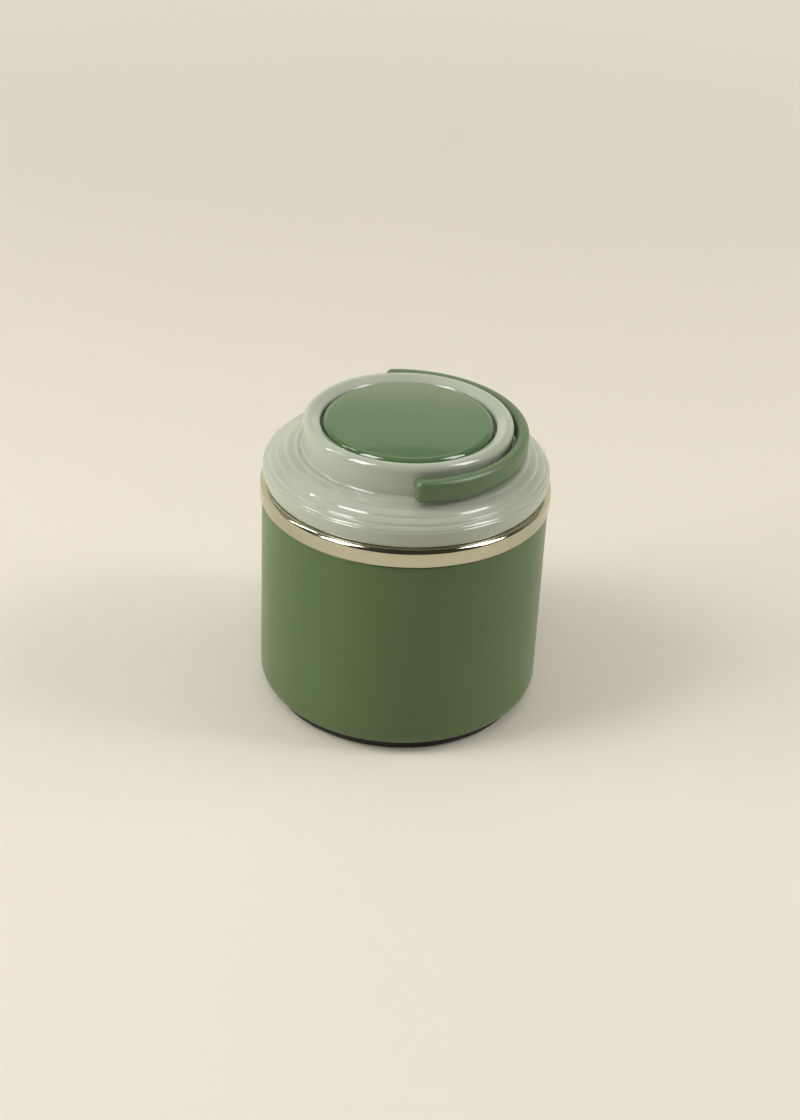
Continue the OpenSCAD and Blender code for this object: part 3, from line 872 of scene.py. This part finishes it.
def thread_tree():
    """A ridge that climbs round the axis from Foot, fades in and out at its ends, and is repeated once
    for each start. A negative Depth points it at the axis."""
    t = Growth("screw_thread", THREAD_INPUTS)
    path = t.node("GeometryNodeCurveSpiral", {}, {
        "Resolution": t.value("Steps"),
        "Rotations": t.value("Turns"),
        "Start Radius": t.value("Radius"),
        "End Radius": t.value("Radius"),
        "Height": t.value("Lead") * t.value("Turns"),
    })
    path = t.node("GeometryNodeSetCurveNormal", {"mode": "Z_UP"}, {"Curve": path})
    section = t.node("GeometryNodeCurvePrimitiveQuadrilateral", {"mode": "TRAPEZOID"}, {
        "Bottom Width": t.value("Root Width"),
        "Top Width": t.value("Crest Width"),
        "Offset": 0.0,
        "Height": t.value("Depth"),
    })
    section = t.node("GeometryNodeTransform", {}, {"Geometry": section, "Rotation": (0, 0, math.pi / 2)})
    along = t.node("GeometryNodeSplineParameter", {}, {})
    nearest = t.node("ShaderNodeMath", {"operation": "MINIMUM"}, {0: along, 1: 1 - along})
    fade = nearest.clamped(*THREAD_FADE) * (1 - THREAD_TIP) + THREAD_TIP
    ridge = t.node("GeometryNodeCurveToMesh", {}, {
        "Curve": path, "Profile Curve": section, "Scale": fade, "Fill Caps": True,
    })
    foot = t.node("ShaderNodeCombineXYZ", {}, {"Z": t.value("Foot")})
    ridge = t.node("GeometryNodeTransform", {}, {"Geometry": ridge, "Translation": foot})
    share = t.node("GeometryNodeInputIndex", {}, {}) / t.value("Starts")
    turn = t.node("FunctionNodeAxisAngleToRotation", {}, {"Axis": (0, 0, 1), "Angle": share * FULL_TURN})
    points = t.node("GeometryNodePoints", {}, {"Count": t.value("Starts")})
    starts = t.node("GeometryNodeInstanceOnPoints", {}, {
        "Points": points, "Instance": ridge, "Rotation": turn,
    })
    whole = t.node("GeometryNodeRealizeInstances", {}, {"Geometry": starts})
    t.end(t.node("GeometryNodeSetMaterial", {}, {"Geometry": whole, "Material": t.value("Finish")}))
    return t


def screw_thread(tree, name, finish, body, sizes):
    """The thread with these sizes, as a plain mesh that rides on a body."""
    host = bpy.data.objects.new(name, bpy.data.meshes.new(name))
    bpy.context.scene.collection.objects.link(host)
    grown = host.modifiers.new("thread", "NODES")
    grown.node_group = tree.tree
    for label, value in {**BOTH_THREADS, **sizes, "Finish": FINISHES[finish]}.items():
        grown[tree.ids[label]] = value
    bpy.context.view_layer.update()
    mesh = bpy.data.meshes.new_from_object(host.evaluated_get(bpy.context.evaluated_depsgraph_get()))
    bpy.data.objects.remove(host)
    made = mesh_object(name, mesh, finish, smooth_angle=30)
    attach(made, body)


# ---------------------------------------------------------------- the pieces together


def keep_cad(node):
    """A CAD node whose shape is right, with its own finish."""
    for place in NODES[node].material_slots:
        place.material = FINISHES[node]


def threads():
    """Two starts on the neck, and two in the cap's skirt that lie under them when the lid is closed."""
    tree = thread_tree()
    screw_thread(tree, "neck_thread", "neck_ring", "jar", NECK_THREAD)
    screw_thread(tree, "cap_thread", "inner_cap", "lid", CAP_THREAD)


# Round CAD nodes that are turned again, more smoothly, as (node, body, piece)
TURNED = (
    ("outer_shell", "jar", "green_shell"),
    ("steel_collar", "jar", "polished_collar"),
    ("inner_bowl", "jar", "steel_bowl"),
    ("neck_ring", "jar", "neck"),
    ("lid_gasket", "lid_seal", "lip_seal"),
    ("vent_valve", "lid", "valve"),
)
KEPT = (
    "flask_cushion", "jacket_base", "vacuum_jacket", "getter", "vacuum_seal", "heat_foil",
    "collar_seal", "inner_cap", "lid_insulation", "pivot_pins",
)

for node, body, name in TURNED:
    stand_for(node, body, name, turned_from(node, name))
rubber_foot()
terraced_lid()
glossy_disc()
bow_handle()
threads()
for kept in KEPT:
    keep_cad(kept)


# ---------------------------------------------------------------- stage, light and camera


PAPER = srgb(228, 220, 205)
BACKDROP = srgb(224, 217, 199)       # the paper and the air far from the jar, as the camera sees them
LOW_GLOW = srgb(240, 233, 216)       # the backdrop's foot in reflections
HIGH_GLOW = (0.82, 0.84, 0.68, 1.0)  # its top
REFLECTED_GLOW_PATCH = (1.5, 1.48, 1.08, 1.0)   # a brighter glowing patch in its middle, which the collar mirrors: a painted reflection

# Places in metres, each a pair between which the paper changes
EVEN = (0.3, 1.0)                    # from the jar's axis: to the backdrop's even colour
BEHIND = (0.3, 0.9)                  # depth: to its glow in reflections
GLOW_RISE = (0.1, 0.7)               # height: from the low glow to the high one
PATCH_LEFT = (-0.7, -0.2)
PATCH_RIGHT = (0.45, 0.85)
PATCH_FOOT = (0.1, 0.45)
PATCH_TOP = (0.5, 0.78)


def cream_paper():
    """Pale paper. Far from the jar it looks even, and in reflections its backdrop glows: emission that only
    glossy rays see, a painted reflection with a brighter patch in its middle.
    """
    mat = Mat("cream_paper")
    patches = mat.noise(3.0, detail=2)
    matt = mat.surface(
        Base_Color=mat.mix(patches, tinted(PAPER, 0.985), tinted(PAPER, 1.015)),
        Roughness=0.85,
        Specular_IOR_Level=0.2,
    )
    across, depth, height = (mat.along(axis) for axis in "XYZ")
    patch_width = across.clamped(*PATCH_LEFT) * (1 - across.clamped(*PATCH_RIGHT))
    patch_height = height.clamped(*PATCH_FOOT) * (1 - height.clamped(*PATCH_TOP))
    plain = mat.mix(height.clamped(*GLOW_RISE), LOW_GLOW, HIGH_GLOW)
    glow_colour = mat.mix(patch_height * patch_width, plain, REFLECTED_GLOW_PATCH)
    glow = mat.node("ShaderNodeEmission", {}, {"Color": glow_colour})
    even = mat.node("ShaderNodeEmission", {}, {"Color": BACKDROP})
    far = mat.from_axis().clamped(*EVEN) * mat.ray("Camera")
    mirrored = depth.clamped(*BEHIND) * mat.ray("Glossy")
    seen = mat.node("ShaderNodeMixShader", {}, {0: far, 1: matt, 2: even})
    return mat.show(mat.node("ShaderNodeMixShader", {}, {0: mirrored, 1: seen, 2: glow}))


def stage():
    """A pale floor that sweeps up into a low backdrop behind the jar."""
    half_width = 3.0
    front = -2.5
    bend_y = 0.75
    bend_r = 0.5
    bend_steps = 32
    wall_top = 0.922
    profile = [(front, 0.0), (bend_y, 0.0)]
    for i in range(1, bend_steps + 1):
        a = math.pi / 2 * i / bend_steps
        profile.append((bend_y + bend_r * math.sin(a), bend_r * (1 - math.cos(a))))
    profile.append((bend_y + bend_r, wall_top))
    work = bmesh.new()
    rows = [[work.verts.new((x, y, z)) for x in (-half_width, half_width)] for y, z in profile]
    for low, high in zip(rows, rows[1:]):
        work.faces.new([low[0], low[1], high[1], high[0]])
    mesh = bpy.data.meshes.new("floor")
    work.to_mesh(mesh)
    work.free()
    mesh.materials.append(cream_paper())
    floor = bpy.data.objects.new("floor", mesh)
    bpy.context.scene.collection.objects.link(floor)
    mesh.shade_smooth()


def around(azimuth, elevation, distance):
    """A place round the jar, with angles in degrees."""
    a, e = math.radians(azimuth), math.radians(elevation)
    flat = distance * math.cos(e)
    return Vector((flat * math.cos(a), flat * math.sin(a), distance * math.sin(e)))


JAR_MIDDLE = Vector((0, 0, 0.05))
# Lamps as (name, kind, place, (width, height), watts). A matt lamp lights without a highlight, and a
# gleam is only the highlight.
LAMPS = (
    ("key", "matt", around(193, 50, 1.5), (0.42, 0.42), 4.3),
    ("high_key", "matt", around(193, 58, 1.5), (0.42, 0.42), 2.0),
    ("front_high", "matt", around(262, 53, 1.5), (0.42, 0.42), 2.3),
    ("right_lamp", "matt", around(344, 46, 1.5), (0.28, 0.28), 3.1),
    ("left_panel", "matt", around(181, 18, 1.6), (1.2, 0.8), 16.2),
    ("right_panel", "matt", around(359, 18, 1.6), (1.2, 0.8), 13.6),
    ("left_gleam", "gleam", around(208, 40, 1.5), (0.48, 0.95), 23.0),
    ("right_gleam", "gleam", around(334, 40, 1.5), (0.46, 0.95), 16.5),
    ("spark", "gleam", around(170, 36, 1.5), (0.03, 0.9), 4.0),
    ("overhead", "matt", Vector((0, 0, 1.5)), (1.6, 1.6), 7.2),
    ("ceiling", "gleam", Vector((0, 0.8, 1.5)), (1.6, 1.4), 6.0),
)


def softbox(name, kind, place, size, watts):
    """A soft lamp that faces the jar."""
    data = bpy.data.lights.new(name, "AREA")
    data.shape = "RECTANGLE"
    data.size, data.size_y = size
    data.energy = watts
    lamp = bpy.data.objects.new(name, data)
    lamp.location = place
    lamp.rotation_euler = (JAR_MIDDLE - place).to_track_quat("-Z", "Y").to_euler()
    lamp.visible_diffuse = kind == "matt"
    lamp.visible_glossy = kind == "gleam"
    bpy.context.scene.collection.objects.link(lamp)


AIR_LIGHT = 0.07          # strength of the air's light on the jar
AIR_GLEAM = 0.4           # what it gains in reflections that look to the back
AIR_BEHIND = (-0.1, 0.3)  # Y of a reflection's direction, where that gain starts and is whole


def room():
    """Dim air. It looks pale to the camera, and glossy surfaces see a lighter room behind the jar."""
    world = bpy.data.worlds.new("room")
    bpy.context.scene.world = world
    world.use_nodes = True
    air = Nodes(world.node_tree)
    way = air.node("ShaderNodeTexCoord", {}, {}, out="Generated")
    backwards = air.node("ShaderNodeSeparateXYZ", {}, {"Vector": way}, out="Y")
    start, whole = AIR_BEHIND
    behind = air.node("ShaderNodeMapRange", {}, {
        "Value": backwards, "From Min": start, "From Max": whole, "To Max": AIR_GLEAM,
    })
    strength = behind * air.ray("Glossy") + AIR_LIGHT + air.ray("Camera") * (1 - AIR_LIGHT)
    back = air.tree.nodes["Background"]
    back.inputs["Color"].default_value = BACKDROP
    air.tree.links.new(strength.socket, back.inputs["Strength"])


FRAME_HEIGHT = 1120     # pixels
FOCAL_LENGTH = 1962.64  # pixels
SENSOR = 36


def camera():
    """Looks down at the jar from the front, a little to its left, with a slight roll."""
    place = Vector((-0.0926, -0.6320, 0.4398))
    bearing = math.radians(8.267)
    pitch = math.radians(31.206)
    roll = math.radians(2.695)
    upright = Vector((0, 0, 1))
    heading = Vector((math.sin(bearing), math.cos(bearing), 0.0))
    forward = heading * math.cos(pitch) - upright * math.sin(pitch)
    level_right = forward.cross(upright).normalized()
    level_up = level_right.cross(forward)
    right = math.cos(roll) * level_right + math.sin(roll) * level_up
    up = -math.sin(roll) * level_right + math.cos(roll) * level_up
    data = bpy.data.cameras.new("camera")
    data.sensor_fit = "AUTO"
    data.sensor_width = SENSOR
    data.lens = FOCAL_LENGTH / FRAME_HEIGHT * SENSOR
    eye = bpy.data.objects.new("camera", data)
    eye.matrix_world = Matrix.Translation(place) @ Matrix((right, up, -forward)).transposed().to_4x4()
    bpy.context.scene.collection.objects.link(eye)
    bpy.context.scene.camera = eye


camera()
stage()
for lamp in LAMPS:
    softbox(*lamp)
room()
bpy.context.scene.view_settings.view_transform = "Standard"
